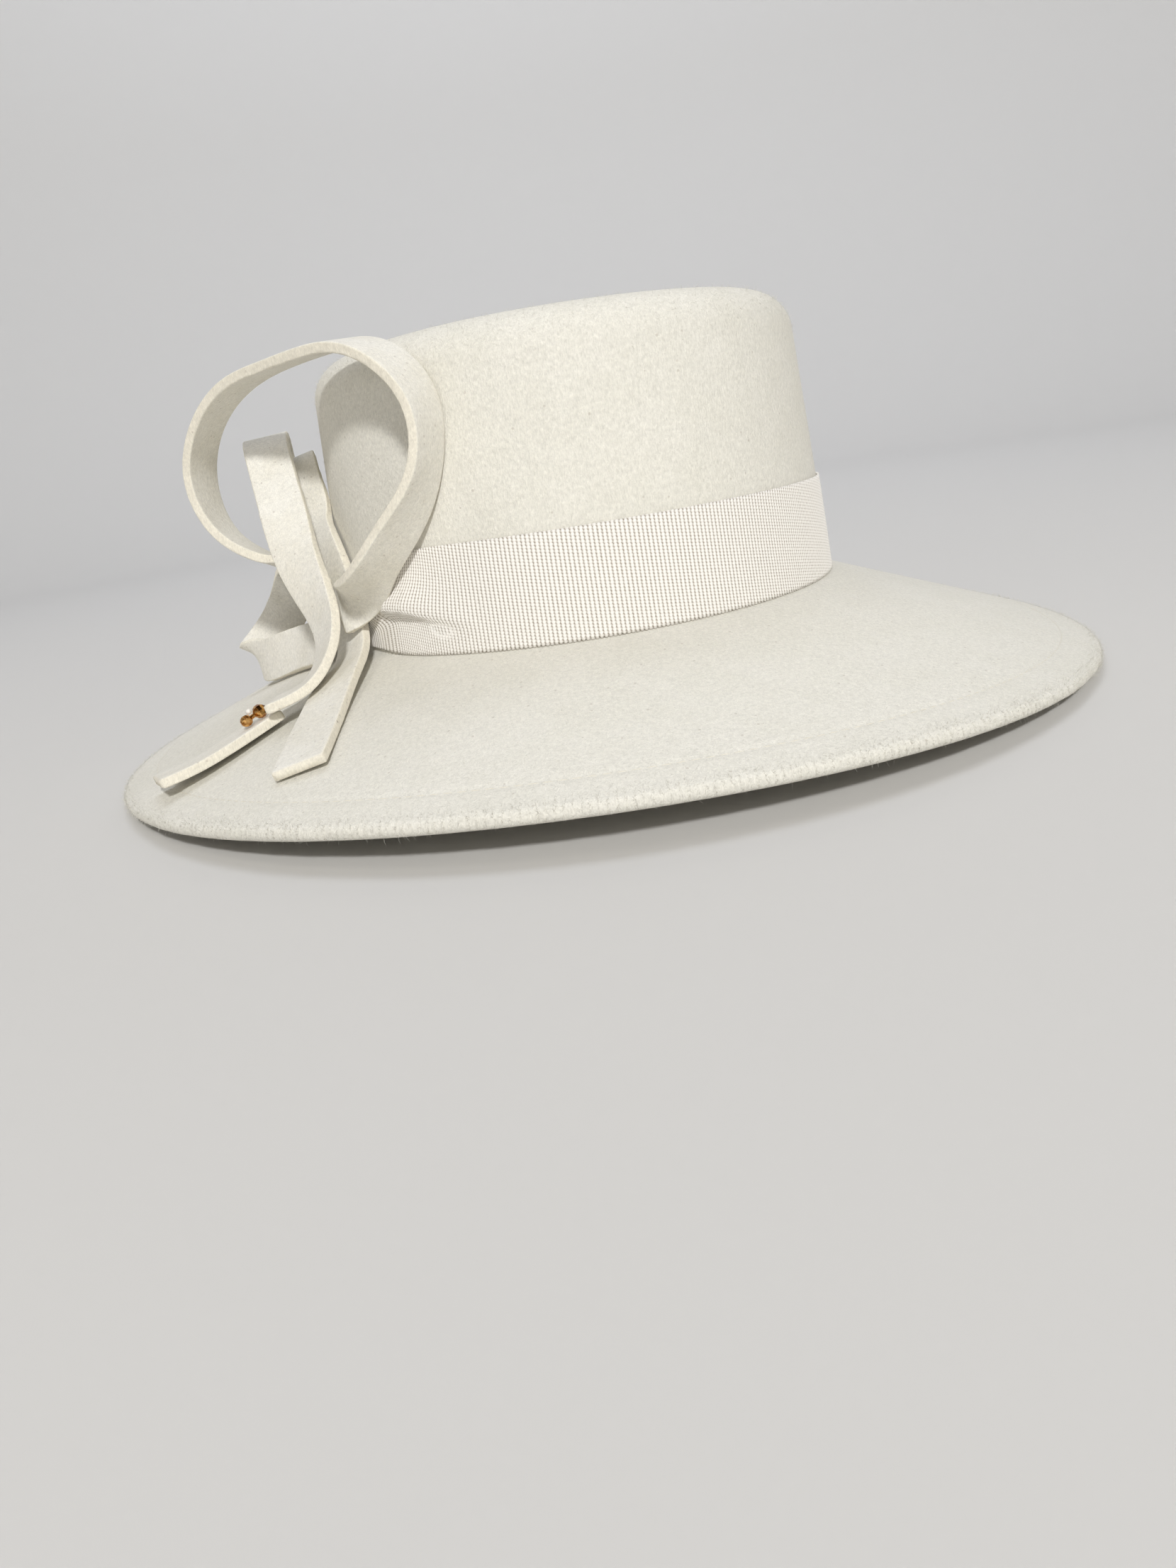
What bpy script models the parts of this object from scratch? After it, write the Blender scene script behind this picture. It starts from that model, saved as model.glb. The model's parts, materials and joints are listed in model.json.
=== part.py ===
"""A wide-brimmed felt hat with a ribbed ribbon and a bow of felt strips.

The hat rests on its brim. Z is up, the wearer faces -Y, and the origin lies on the rest plane
under the middle of the crown. Lengths in the tables are millimetres; meshes are in metres.
"""
import bpy
import bmesh
import numpy as np

MM = 0.001

# Driving dimensions, in millimetres ------------------------------------------------------------
CROWN_HALF_WIDTH = 89.0       # outer half width of the crown at its foot
CROWN_HALF_LENGTH = 98.0      # outer half length of the crown at its foot
CROWN_HEIGHT = 92.0           # crown's foot to its flat tip
CROWN_TAPER = 0.068           # the wall leans in by this much for each unit of height
TIP_RADIUS = 13.0             # rounding between the wall and the tip
TIP_DOME = 1.5                # the tip rises this much to its middle
BRIM_HALF_WIDTH = 174.5       # middle of the hat to the brim's outer edge, sideways
BRIM_HALF_LENGTH = 179.5      # and lengthways
BRIM_DROP = 27.0              # mean drop of the brim from the crown's foot to its edge
BRIM_WAVE = 5.0               # the sides hang this much lower, front and back this much higher
FELT = 3.0                    # felt thickness
HEM_WIDTH = 11.0              # the brim's edge is turned under and sewn down over this width
HEM_THICKNESS = 4.4           # two pressed layers of felt
FOOT_FILLET = 1.0             # bend between the crown's wall and the brim
FOOT_HEIGHT = 35.0            # height of the crown's foot above the rest plane
RIBBON_BOTTOM = 1.2           # ribbon's lower edge above the crown's foot
RIBBON_WIDTH = 30.8
RIBBON_THICKNESS = 1.0
CLEARANCE = 0.3               # gap between pieces that touch
STRIP_WIDTH = 15.5            # felt strips of the bow
STRIP_THICKNESS = 3.0
STRIP_CHAMFER = 0.5
STATION_STEP = 5.0            # distance between cross-sections along a strip

# Where the ribbon is gathered into the bow
GATHER_HEADING = -141.0       # degrees round the crown's oval
GATHER_SPREAD = 10.0          # degrees over which the ribbon opens out again
GATHER_DIP = 21.0             # the upper edge comes down this far at the gather
GATHER_LIFT = 2.0             # the lower edge goes up this far
PLEAT_ABOVE = 7.0             # the pleat rounds off over this height above its ridge
PLEAT_BELOW = 1.8             # and drops back to the crown over this height below it

# The pleat that runs out of the gather towards the front: degrees away from the gather, height of
# its ridge above the crown's foot, and how far the ridge stands off the crown.
PLEAT_COLUMNS = ("away", "ridge", "stand")
PLEAT = (
    (-6.0, 6.5, 0.0),
    (-1.0, 8.4, 0.3),
    (6.0, 12.0, 0.8),
    (10.0, 13.8, 0.5),
    (14.5, 15.0, 2.4),
    (18.0, 14.5, 2.6),
    (24.0, 11.8, 1.2),
    (32.0, 9.0, 0.0),
)

SEGMENTS = 64                 # sections round the felt body
GATHER_STEP = 2.25            # degrees between ribbon sections near the gather
GATHER_REACH = 36.0           # as far as this either side of it
RIBBON_FAR_SECTIONS = 52      # sections round the rest of the crown

# Routes of the felt strips. Each row is one section of the strip's middle line: x, y, height above
# the crown's foot, then the direction of its width as a heading and a rise in degrees.
STRIP_COLUMNS = ("x", "y", "height", "heading", "rise")

RING_LOOP = (
    (-76.0, -66.9, 15.2, -50, -55),
    (-70.5, -70.5, 18.1, -22, -42),
    (-61.5, -83.5, 24.5, 36, -18),
    (-48.5, -91.5, 37.0, 52, -15),
    (-36.0, -95.0, 53.5, 70, -7),
    (-34.0, -94.5, 73.0, 64, 2),
    (-46.0, -88.0, 87.5, 54, 4),
    (-62.5, -76.0, 91.0, 53, 5),
    (-78.5, -64.0, 90.5, 55, 6),
    (-95.5, -52.5, 88.0, 59, 5),
    (-111.0, -43.5, 79.0, 67, 8),
    (-120.5, -38.0, 62.0, 76, 4),
    (-115.5, -38.5, 42.5, 85, -5),
    (-98.5, -42.5, 31.0, 86, -16),
    (-88.5, -51.0, 25.0, 105, -42),
    (-81.5, -57.5, 18.8, 122, -56),
)

UPRIGHT_LOOP = (
    (-95.5, -93.6, -6.3, 113, -5),
    (-85.5, -89.5, -3.2, 117, -9),
    (-80.5, -82.5, 2.5, 125, -18),
    (-80.0, -71.5, 13.5, 138, -26),
    (-86.0, -62.5, 28.5, 165, -28),
    (-92.0, -49.0, 45.0, 183, -13),
    (-97.2, -34.5, 61.5, 180, -10),
    (-100.0, -25.5, 70.5, 180, -4),
    (-102.0, -17.0, 71.2, 181, -5),
    (-103.3, -11.8, 65.5, 182, -6),
    (-102.3, -11.3, 59.0, 183, -8),
    (-99.3, -13.8, 54.6, 184, -9),
    (-96.0, -17.6, 58.0, 184, -10),
    (-93.6, -20.8, 61.6, 185, -11),
    (-92.2, -24.6, 63.2, 185, -12),
    (-91.2, -27.4, 59.0, 184, -15),
    (-89.0, -31.0, 50.0, 180, -24),
    (-87.5, -35.0, 42.0, 176, -37),
    (-81.5, -48.0, 31.5, 158, -43),
    (-76.0, -57.0, 16.5, 143, -44),
    (-74.5, -65.5, 4.5, 155, -34),
    (-75.5, -84.5, -2.2, 165, -18),
    (-77.0, -106.5, -9.0, 173, -12),
    (-77.0, -136.0, -16.0, 176, -13),
)

LONG_TAIL = (
    (-96.0, -89.0, -10.0, 115, -5),
    (-103.5, -94.5, -13.1, 117, -5),
    (-111.0, -100.5, -16.1, 117, -5),
    (-118.0, -105.0, -18.6, 113, -5),
    (-128.5, -109.6, -20.9, 108, -4),
)

REAR_LOOP = (
    (-87.7, -48.8, 4.0, 95, 45),
    (-99.7, -35.7, 1.8, 95, 57),
    (-112.2, -26.0, -1.4, 100, 72),
    (-121.5, -17.0, -3.4, 118, 72),
    (-126.0, -8.0, -1.5, 145, 44),
    (-120.5, -1.5, 5.5, 162, 20),
    (-113.0, -2.5, 13.0, 172, 6),
    (-107.0, -8.0, 21.0, 178, 0),
    (-100.0, -17.0, 28.0, 178, -6),
    (-93.5, -27.5, 27.5, 170, -20),
    (-89.5, -36.0, 20.0, 150, -38),
)

# The pin on the long tail
PIN_ALONG = 6.8               # from the tail's inner end to the pin's middle
PIN_ASIDE = -3.0              # off the tail's middle line, towards its front edge
PIN_SPACING = 5.0             # between the two gold beads
PIN_BEAD_RADIUS = (2.2, 1.9)  # the inner bead is the larger
PIN_BAR_RADIUS = 0.9
PIN_WHITE_RADIUS = 0.85


# Small helpers -----------------------------------------------------------------------------------
def clear_scene():
    for thing in list(bpy.data.objects):
        bpy.data.objects.remove(thing, do_unlink=True)


def finish_material(name, colour, roughness, metallic=0.0):
    material = bpy.data.materials.new(name)
    material.use_nodes = True
    shader = material.node_tree.nodes["Principled BSDF"]
    shader.inputs["Base Color"].default_value = (*colour, 1.0)
    shader.inputs["Roughness"].default_value = roughness
    shader.inputs["Metallic"].default_value = metallic
    return material


def make_object(name, mesh_maker, material):
    """Wrap what mesh_maker (a bmesh in millimetres) holds into one named object in metres."""
    bmesh.ops.recalc_face_normals(mesh_maker, faces=mesh_maker.faces)
    bmesh.ops.scale(mesh_maker, vec=(MM, MM, MM), verts=mesh_maker.verts)
    mesh = bpy.data.meshes.new(name)
    mesh_maker.to_mesh(mesh)
    mesh_maker.free()
    mesh.materials.append(material)
    mesh.shade_smooth()
    mesh.set_sharp_from_angle(angle=np.radians(40))
    thing = bpy.data.objects.new(name, mesh)
    bpy.context.scene.collection.objects.link(thing)
    return thing


def skin_rings(rings, closed=False):
    """Join rings of points with quads. Open runs get a flat cap at each end."""
    shape = bmesh.new()
    rows = [[shape.verts.new(point) for point in ring] for ring in rings]
    count = len(rows[0])
    pairs = list(zip(rows, rows[1:]))
    if closed:
        pairs.append((rows[-1], rows[0]))
    for lower, upper in pairs:
        for i in range(count):
            j = (i + 1) % count
            shape.faces.new((lower[i], lower[j], upper[j], upper[i]))
    if not closed:
        shape.faces.new(rows[0])
        shape.faces.new(rows[-1])
    return shape


def smooth_run(knots, values, at):
    """Natural cubic spline through values at knots, read off at the places in at."""
    gaps = np.diff(knots)
    slopes = np.diff(values, axis=0) / gaps[:, None]
    size = len(knots)
    system = np.eye(size)
    right = np.zeros_like(values)
    for i in range(1, size - 1):
        system[i, i - 1:i + 2] = gaps[i - 1], 2 * (gaps[i - 1] + gaps[i]), gaps[i]
        right[i] = 6 * (slopes[i] - slopes[i - 1])
    bend = np.linalg.solve(system, right)
    i = np.clip(np.searchsorted(knots, at, side="right") - 1, 0, size - 2)
    gap = gaps[i][:, None]
    before = (at - knots[i])[:, None]
    after = gap - before
    return ((bend[i] * after ** 3 + bend[i + 1] * before ** 3) / (6 * gap)
            + (values[i] / gap - bend[i] * gap / 6) * after
            + (values[i + 1] / gap - bend[i + 1] * gap / 6) * before)


# Felt body ----------------------------------------------------------------------------------------
def brim_drop(angle):
    return BRIM_DROP + BRIM_WAVE * np.cos(2 * angle)


def wall_offset(height):
    """How far the crown's outer wall lies inside its foot at a height above the foot."""
    lean = -CROWN_TAPER * np.minimum(height, CROWN_HEIGHT - TIP_RADIUS)
    climb = np.clip(height - (CROWN_HEIGHT - TIP_RADIUS), 0.0, TIP_RADIUS)
    return lean - (TIP_RADIUS - np.sqrt(TIP_RADIUS ** 2 - climb ** 2))


def crown_point(angle, offset, height, share=1.0):
    """A point on the crown's oval, moved out by offset; share shrinks the oval to its middle."""
    return (share * (CROWN_HALF_WIDTH + offset) * np.cos(angle),
            share * (CROWN_HALF_LENGTH + offset) * np.sin(angle),
            FOOT_HEIGHT + height)


def brim_point(angle, run, below):
    """A point on the brim: run is 0 at the crown's foot and 1 at the edge's rounding, and below is
    the distance under the top face, square to it."""
    edge = HEM_THICKNESS / 2
    reach = BRIM_HALF_WIDTH - edge - CROWN_HALF_WIDTH
    slope = np.arctan2(brim_drop(angle), reach)
    out = run * reach - below * np.sin(slope)
    reach_long = BRIM_HALF_LENGTH - edge - CROWN_HALF_LENGTH
    out_long = run * reach_long - below * np.sin(slope)
    return ((CROWN_HALF_WIDTH + out) * np.cos(angle),
            (CROWN_HALF_LENGTH + out_long) * np.sin(angle),
            FOOT_HEIGHT - run * brim_drop(angle) - below * np.cos(slope))


def edge_point(angle, turn):
    """A point on the brim's rolled edge; turn runs from 0 on top, round the outside, to 180."""
    radius = HEM_THICKNESS / 2
    middle = np.array(brim_point(angle, 1.0, radius))
    slope = np.arctan2(brim_drop(angle), BRIM_HALF_WIDTH - radius - CROWN_HALF_WIDTH)
    facing = slope - np.radians(turn) + np.pi / 2 - 2 * slope
    outward = np.cos(facing) * radius
    up = np.sin(facing) * radius
    return tuple(middle + (outward * np.cos(angle), outward * np.sin(angle), up))


def felt_section(angle):
    """The closed section of the felt from the tip's middle, out to the edge and back inside."""
    reach = BRIM_HALF_WIDTH - HEM_THICKNESS / 2 - CROWN_HALF_WIDTH
    hem = HEM_WIDTH / reach
    fillet = FOOT_FILLET / reach
    rounding = np.linspace(0.0, 1.0, 5)
    shoulder = CROWN_HEIGHT - TIP_RADIUS
    top = wall_offset(CROWN_HEIGHT)
    points = [crown_point(angle, top, CROWN_HEIGHT + TIP_DOME * (1 - s * s), s)
              for s in (0.35, 0.7, 1.0)]
    for part in rounding[1:]:
        height = shoulder + TIP_RADIUS * np.cos(part * np.pi / 2)
        points.append(crown_point(angle, wall_offset(height), height))
    points += [crown_point(angle, wall_offset(h), h) for h in (56.0, 33.0, 12.0, FOOT_FILLET)]
    points.append(crown_point(angle, 0.25 * FOOT_FILLET, 0.2 * FOOT_FILLET))
    points += [brim_point(angle, run, 0.0) for run in (fillet, 0.22, 0.48, 0.74, 1.0 - hem, 1.0)]
    points += [edge_point(angle, turn) for turn in (30, 60, 90, 115, 135, 155, 180)]
    points.append(brim_point(angle, 1.0 - hem, HEM_THICKNESS))
    points += [brim_point(angle, run, FELT) for run in (0.98 - hem, 0.6, 0.3, 0.5 * fillet)]
    inner = -FELT
    points += [crown_point(angle, wall_offset(h) + inner, h) for h in (-1.0, 12.0, 45.0)]
    points += [crown_point(angle, wall_offset(shoulder + TIP_RADIUS * np.sin(t)) + inner * np.cos(t),
                           shoulder + (TIP_RADIUS - FELT) * np.sin(t))
               for t in np.radians((0, 35, 65))]
    points += [crown_point(angle, top, CROWN_HEIGHT - FELT + TIP_DOME * (1 - s * s), s)
               for s in (1.0, 0.6, 0.3)]
    return [(x, y, max(z, 0.0)) for x, y, z in points]


def felt_body(material):
    angles = np.arange(SEGMENTS) * 2 * np.pi / SEGMENTS
    sections = [felt_section(angle) for angle in angles]
    shape = bmesh.new()
    rows = [[shape.verts.new(point) for point in section] for section in sections]
    steps = len(rows[0])
    tip_top = shape.verts.new((0.0, 0.0, FOOT_HEIGHT + CROWN_HEIGHT + TIP_DOME))
    tip_under = shape.verts.new((0.0, 0.0, FOOT_HEIGHT + CROWN_HEIGHT + TIP_DOME - FELT))
    for here, there in zip(rows, rows[1:] + rows[:1]):
        for i in range(steps - 1):
            shape.faces.new((here[i], here[i + 1], there[i + 1], there[i]))
        shape.faces.new((tip_top, here[0], there[0]))
        shape.faces.new((tip_under, there[-1], here[-1]))
    return make_object("felt_body", shape, material)


# Ribbon -------------------------------------------------------------------------------------------
def ribbon_point(away, across, off):
    """away is in degrees from the gather, across runs from 0 at the lower edge to 1 at the upper
    one, and off is the distance from the ribbon's inner face."""
    share = np.exp(-(away / GATHER_SPREAD) ** 2)
    lower = RIBBON_BOTTOM + GATHER_LIFT * share
    upper = RIBBON_BOTTOM + RIBBON_WIDTH - GATHER_DIP * share
    height = lower + (upper - lower) * across
    places, ridges, stands = np.array(PLEAT).T
    ridge = np.interp(away, places, ridges)
    rise = height - ridge
    rounding = PLEAT_ABOVE if rise > 0 else PLEAT_BELOW
    pleat = np.interp(away, places, stands) * np.exp(-(rise / rounding) ** 2)
    angle = np.radians(GATHER_HEADING + away)
    return crown_point(angle, wall_offset(height) + CLEARANCE + pleat + off, height)


def ribbon_band(material):
    across = (0.0, 0.15, 0.27, 0.36, 0.45, 0.58, 0.76, 1.0)
    near = np.arange(-GATHER_REACH, GATHER_REACH, GATHER_STEP)
    far = np.linspace(GATHER_REACH, 360.0 - GATHER_REACH, RIBBON_FAR_SECTIONS, endpoint=False)
    rings = []
    for away in np.concatenate([near, far]):
        outer = [ribbon_point(away, a, RIBBON_THICKNESS) for a in across]
        inner = [ribbon_point(away, a, 0.0) for a in across[::-1]]
        rings.append(outer + inner)
    return make_object("ribbon_band", skin_rings(rings, closed=True), material)


# Felt strips --------------------------------------------------------------------------------------
def strip_frame(route, count=None):
    """Middle points, width directions and face directions along a strip's smooth route."""
    rows = np.array(route, float)
    middle = rows[:, :3] + (0.0, 0.0, FOOT_HEIGHT)
    heading, rise = np.radians(rows[:, 3]), np.radians(rows[:, 4])
    width = np.stack([np.cos(heading) * np.cos(rise), np.sin(heading) * np.cos(rise),
                      np.sin(rise)], axis=1)
    knots = np.concatenate([[0.0], np.cumsum(np.linalg.norm(np.diff(middle, axis=0), axis=1))])
    if count is None:
        count = int(knots[-1] / STATION_STEP) + 1
    at = np.linspace(0.0, knots[-1], count)
    points = smooth_run(knots, middle, at)
    widths = smooth_run(knots, width, at)
    along = np.gradient(points, axis=0)
    along /= np.linalg.norm(along, axis=1, keepdims=True)
    widths -= (widths * along).sum(axis=1, keepdims=True) * along
    widths /= np.linalg.norm(widths, axis=1, keepdims=True)
    faces = np.cross(along, widths)
    return points, along, widths, faces


def strip(name, route, material, width=STRIP_WIDTH, start_slant=0.0, end_slant=0.0):
    """A felt strip swept along its route. A slant moves one corner of that end's cut along the
    strip and the other corner back, in millimetres."""
    points, along, widths, faces = strip_frame(route)
    half, deep, cut = width / 2, STRIP_THICKNESS / 2, STRIP_CHAMFER
    corners = ((-half, -deep + cut), (-half + cut, -deep), (half - cut, -deep), (half, -deep + cut),
               (half, deep - cut), (half - cut, deep), (-half + cut, deep), (-half, deep - cut))
    count = len(points)
    blend = 3
    rings = []
    for i in range(count):
        from_start = max(0.0, 1.0 - i / blend)
        from_end = max(0.0, 1.0 - (count - 1 - i) / blend)
        slant = start_slant * from_start + end_slant * from_end
        rings.append([points[i] + widths[i] * across + faces[i] * deep_at
                      + along[i] * slant * across / half
                      for across, deep_at in corners])
    return make_object(name, skin_rings(rings), material)


# Pin ----------------------------------------------------------------------------------------------
def pin_frame():
    """Place and directions of the pin on the long tail's upper face."""
    points, along, widths, faces = strip_frame(LONG_TAIL, count=60)
    lengths = np.concatenate([[0.0], np.cumsum(np.linalg.norm(np.diff(points, axis=0), axis=1))])
    i = int(np.argmin(abs(lengths - PIN_ALONG)))
    up = faces[i] if faces[i][2] > 0 else -faces[i]
    seat = points[i] + widths[i] * PIN_ASIDE + up * (STRIP_THICKNESS / 2 + CLEARANCE)
    return seat, along[i], widths[i], up


def ball(name, centre, radius, sides, material):
    shape = bmesh.new()
    bmesh.ops.create_uvsphere(shape, u_segments=sides, v_segments=max(4, sides // 2 + 1),
                              radius=radius)
    bmesh.ops.translate(shape, verts=shape.verts, vec=centre)
    return make_object(name, shape, material)


def tail_pin(gold, white):
    seat, along, across, up = pin_frame()
    inner, outer = PIN_BEAD_RADIUS
    ends = [seat - along * PIN_SPACING / 2 + up * inner, seat + along * PIN_SPACING / 2 + up * outer]
    turns = np.arange(8) * np.pi / 4
    bar_rings = [[end + (across * np.cos(t) + up * np.sin(t)) * PIN_BAR_RADIUS for t in turns]
                 for end in ends]
    pin = make_object("tail_pin", skin_rings(bar_rings), gold)
    for name, centre, radius in zip(("inner_bead", "outer_bead"), ends, PIN_BEAD_RADIUS):
        bead = ball(name, centre, radius, 8, gold)
        bead.hide_render = True
        bead.display_type = "WIRE"
        join = pin.modifiers.new(name, "BOOLEAN")
        join.operation = "UNION"
        join.object = bead
    rest = seat + up * (PIN_BAR_RADIUS + inner + CLEARANCE + 0.45) + across * 0.4 + along * 0.3
    ball("tail_pin_bead", rest, PIN_WHITE_RADIUS, 8, white)


def build():
    clear_scene()
    felt = finish_material("cream wool felt", (0.80, 0.77, 0.69), 0.95)
    strip_felt = finish_material("cream felt strip", (0.78, 0.75, 0.67), 0.95)
    grosgrain = finish_material("cream grosgrain ribbon", (0.83, 0.80, 0.73), 0.75)
    gold = finish_material("polished gold brass", (0.78, 0.50, 0.20), 0.22, 1.0)
    white = finish_material("white bead", (0.92, 0.91, 0.88), 0.25)
    felt_body(felt)
    ribbon_band(grosgrain)
    strip("bow_ring_loop", RING_LOOP, strip_felt)
    strip("bow_upright_loop", UPRIGHT_LOOP, strip_felt, start_slant=1.5)
    strip("bow_long_tail", LONG_TAIL, strip_felt, end_slant=1.5)
    strip("bow_rear_loop", REAR_LOOP, strip_felt)
    tail_pin(gold, white)


build()
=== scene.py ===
# %% [markdown]
# # A winter hat of cream wool felt
# The hat is one body of thick felt, blocked into a low flat crown and a wide brim that slopes
# down, with a ribbed ribbon round the crown and a bow of four felt strips at the wearer's right.
# The solid model gives every place and size; the cells below dress it. Each piece is a surface
# worked out with numpy, because a blocked felt hat is an oval swept by a profile, and a strip is
# a rounded section carried along a route.

# %% Load the solid model
import json
import bpy
import numpy as np
from mathutils import Matrix, Vector

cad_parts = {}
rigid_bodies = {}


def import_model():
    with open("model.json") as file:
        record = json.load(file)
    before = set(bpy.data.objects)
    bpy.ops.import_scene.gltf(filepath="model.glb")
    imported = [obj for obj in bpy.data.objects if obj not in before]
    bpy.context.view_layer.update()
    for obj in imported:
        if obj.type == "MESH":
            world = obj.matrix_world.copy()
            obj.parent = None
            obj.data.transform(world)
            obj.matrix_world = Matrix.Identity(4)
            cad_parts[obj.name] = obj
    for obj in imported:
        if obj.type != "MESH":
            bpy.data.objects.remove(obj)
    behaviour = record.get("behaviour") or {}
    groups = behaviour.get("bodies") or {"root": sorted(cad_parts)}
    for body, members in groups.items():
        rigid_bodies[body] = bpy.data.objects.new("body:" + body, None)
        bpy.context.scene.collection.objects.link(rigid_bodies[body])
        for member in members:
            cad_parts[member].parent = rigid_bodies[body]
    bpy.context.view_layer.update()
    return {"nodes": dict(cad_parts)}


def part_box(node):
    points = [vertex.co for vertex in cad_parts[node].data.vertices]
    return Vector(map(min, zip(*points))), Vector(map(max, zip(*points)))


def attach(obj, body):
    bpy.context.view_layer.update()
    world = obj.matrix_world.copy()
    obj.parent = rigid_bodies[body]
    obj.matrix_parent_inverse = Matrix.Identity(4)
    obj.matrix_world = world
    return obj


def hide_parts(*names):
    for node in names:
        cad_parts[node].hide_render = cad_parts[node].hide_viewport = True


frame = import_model()
MM = 0.001
chance = np.random.default_rng(27)
print("solid nodes:", ", ".join(sorted(frame["nodes"])))

# %% [markdown]
# ## Measures
# A hatter works from the block's oval, the crown's height and the brim's width. The same named
# sizes, in millimetres, drive the solid model, so a finer surface made from them lies where the
# solid lies. Only the ribbon departs a little: as cloth it is thinner, reaches right down to the
# brim, where the solid keeps a gap, and its pleat stands taller. Heights are measured from the
# crown's foot, where the wall turns into the brim.

# %% Name the sizes
CROWN_HALF_WIDTH, CROWN_HALF_LENGTH, CROWN_HEIGHT = 89.0, 98.0, 92.0
CROWN_TAPER, TIP_RADIUS, TIP_DOME = 0.068, 13.0, 1.5
BRIM_HALF_WIDTH, BRIM_HALF_LENGTH = 174.5, 179.5
BRIM_DROP, BRIM_WAVE = 27.0, 5.0
FELT, HEM_WIDTH, HEM_THICKNESS, FOOT_FILLET, FOOT_HEIGHT = 3.0, 11.0, 4.4, 1.0, 35.0
RIBBON_BOTTOM, RIBBON_WIDTH, RIBBON_THICKNESS, CLEARANCE = 0.3, 31.7, 0.8, 0.3
BOW_HEADING = -141.0
body_low, body_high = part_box("felt_body")
print("felt body, mm:", [round((h - l) / MM, 1) for l, h in zip(body_low, body_high)])


# %% [markdown]
# ## From arrays to meshes
# A surface is a grid of points: rows run one way, columns the other. A grid closes on itself
# where a side is wrapped, as round the crown. The corners are kept as row and column numbers that
# run on past a seam, so that a pattern laid on them has no jump there.

# %% Grid and mesh helpers
def grid_corners(rows, columns, wrap_rows=False, wrap_columns=False):
    """Row and column number of each quad's corners: (i, j), (i+1, j), (i+1, j+1), (i, j+1)."""
    i, j = np.meshgrid(np.arange(rows if wrap_rows else rows - 1),
                       np.arange(columns if wrap_columns else columns - 1), indexing="ij")
    i, j = i.ravel(), j.ravel()
    return np.stack([i, i + 1, i + 1, i], axis=1), np.stack([j, j, j + 1, j + 1], axis=1)


def grid_faces(rows, columns, corners):
    """Point number of each corner: row times the number of columns, plus column, both wrapped."""
    return (corners[0] % rows) * columns + corners[1] % columns


def mesh_piece(name, points, faces, material, smooth=True):
    """One object at the origin from points in millimetres and lists of corner numbers. The hat
    has no moving part, so every piece rides on the one body."""
    mesh = bpy.data.meshes.new(name)
    mesh.from_pydata((np.asarray(points) * MM).tolist(), [], [list(map(int, f)) for f in faces])
    mesh.polygons.foreach_set("use_smooth", np.full(len(mesh.polygons), smooth))
    mesh.materials.append(material)
    mesh.update()
    piece = bpy.data.objects.new(name, mesh)
    bpy.context.scene.collection.objects.link(piece)
    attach(piece, "root")
    return piece


def lay_pattern(piece, places):
    """Gives each corner of the first faces its (u, v) place in metres; the rest stay at zero."""
    layer = piece.data.uv_layers.new(name="cloth")
    flat = np.zeros((len(piece.data.loops), 2), np.float32)
    flat[:len(places)] = places
    layer.data.foreach_set("uv", flat.ravel())


def mark(piece, name, values):
    """Stores one number per point, for a finish to read."""
    layer = piece.data.attributes.new(name, "FLOAT", "POINT")
    layer.data.foreach_set("value", np.asarray(values, np.float32))


print("helpers ready")


# %% [markdown]
# ## Shader helpers
# A finish is a small tree of nodes. One helper adds a node with its options and inputs, and one
# does sums, so that each finish below reads as a recipe.

# %% Node helpers
def new_finish(name, roughness, sheen=0.0, metallic=0.0):
    """A material with its Principled shader; numbers that are the same all over are set here."""
    material = bpy.data.materials.new(name)
    material.use_nodes = True
    shader = material.node_tree.nodes["Principled BSDF"]
    shader.inputs["Roughness"].default_value = roughness
    shader.inputs["Metallic"].default_value = metallic
    shader.inputs["Sheen Weight"].default_value = sheen
    shader.inputs["Sheen Roughness"].default_value = 0.45
    return material, material.node_tree, shader


def add(tree, kind, inputs=None, out=0, **options):
    """Adds a node, sets its options, fills or links its inputs, and gives one output back."""
    node = tree.nodes.new(kind)
    for option, value in options.items():
        setattr(node, option, value)
    for socket, value in (inputs or {}).items():
        if isinstance(value, bpy.types.NodeSocket):
            tree.links.new(value, node.inputs[socket])
        else:
            node.inputs[socket].default_value = value
    return node.outputs[out]


def sums(tree, operation, first, second=0.0, third=0.0):
    """One step of arithmetic on up to three numbers or outputs."""
    return add(tree, "ShaderNodeMath", {0: first, 1: second, 2: third}, operation=operation)


def blend(tree, share, first, second, mode="MIX"):
    """Mixes two colours by a share from 0 to 1."""
    node = tree.nodes.new("ShaderNodeMix")
    node.data_type = "RGBA"
    node.blend_type = mode
    for socket, value in ((0, share), (6, first), (7, second)):
        if isinstance(value, bpy.types.NodeSocket):
            tree.links.new(value, node.inputs[socket])
        else:
            node.inputs[socket].default_value = value
    return node.outputs[2]


def tone(red, green, blue):
    """A colour from 0-255 screen values, in the linear light that shaders work in."""
    screen = np.array([red, green, blue]) / 255.0
    linear = np.where(screen <= 0.04045, screen / 12.92, ((screen + 0.055) / 1.055) ** 2.4)
    return (*linear.tolist(), 1.0)


print("cream is", [round(v, 2) for v in tone(236, 232, 219)[:3]])


# %% [markdown]
# ## The felt's finish
# Wool felt is a mat of fine crimped hairs. Close to, it shows short streaks that run every way,
# a little mottling where it is thicker, and here and there a dark speck of chaff. Each is a noise
# at its own scale in object coordinates, so that the pattern stays with the hat. Sheen stands for
# the light that the loose hairs catch at a grazing angle. The strips are the same felt pressed
# harder: their cut edges, marked on the mesh, are warmer in tone and rougher.

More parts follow.
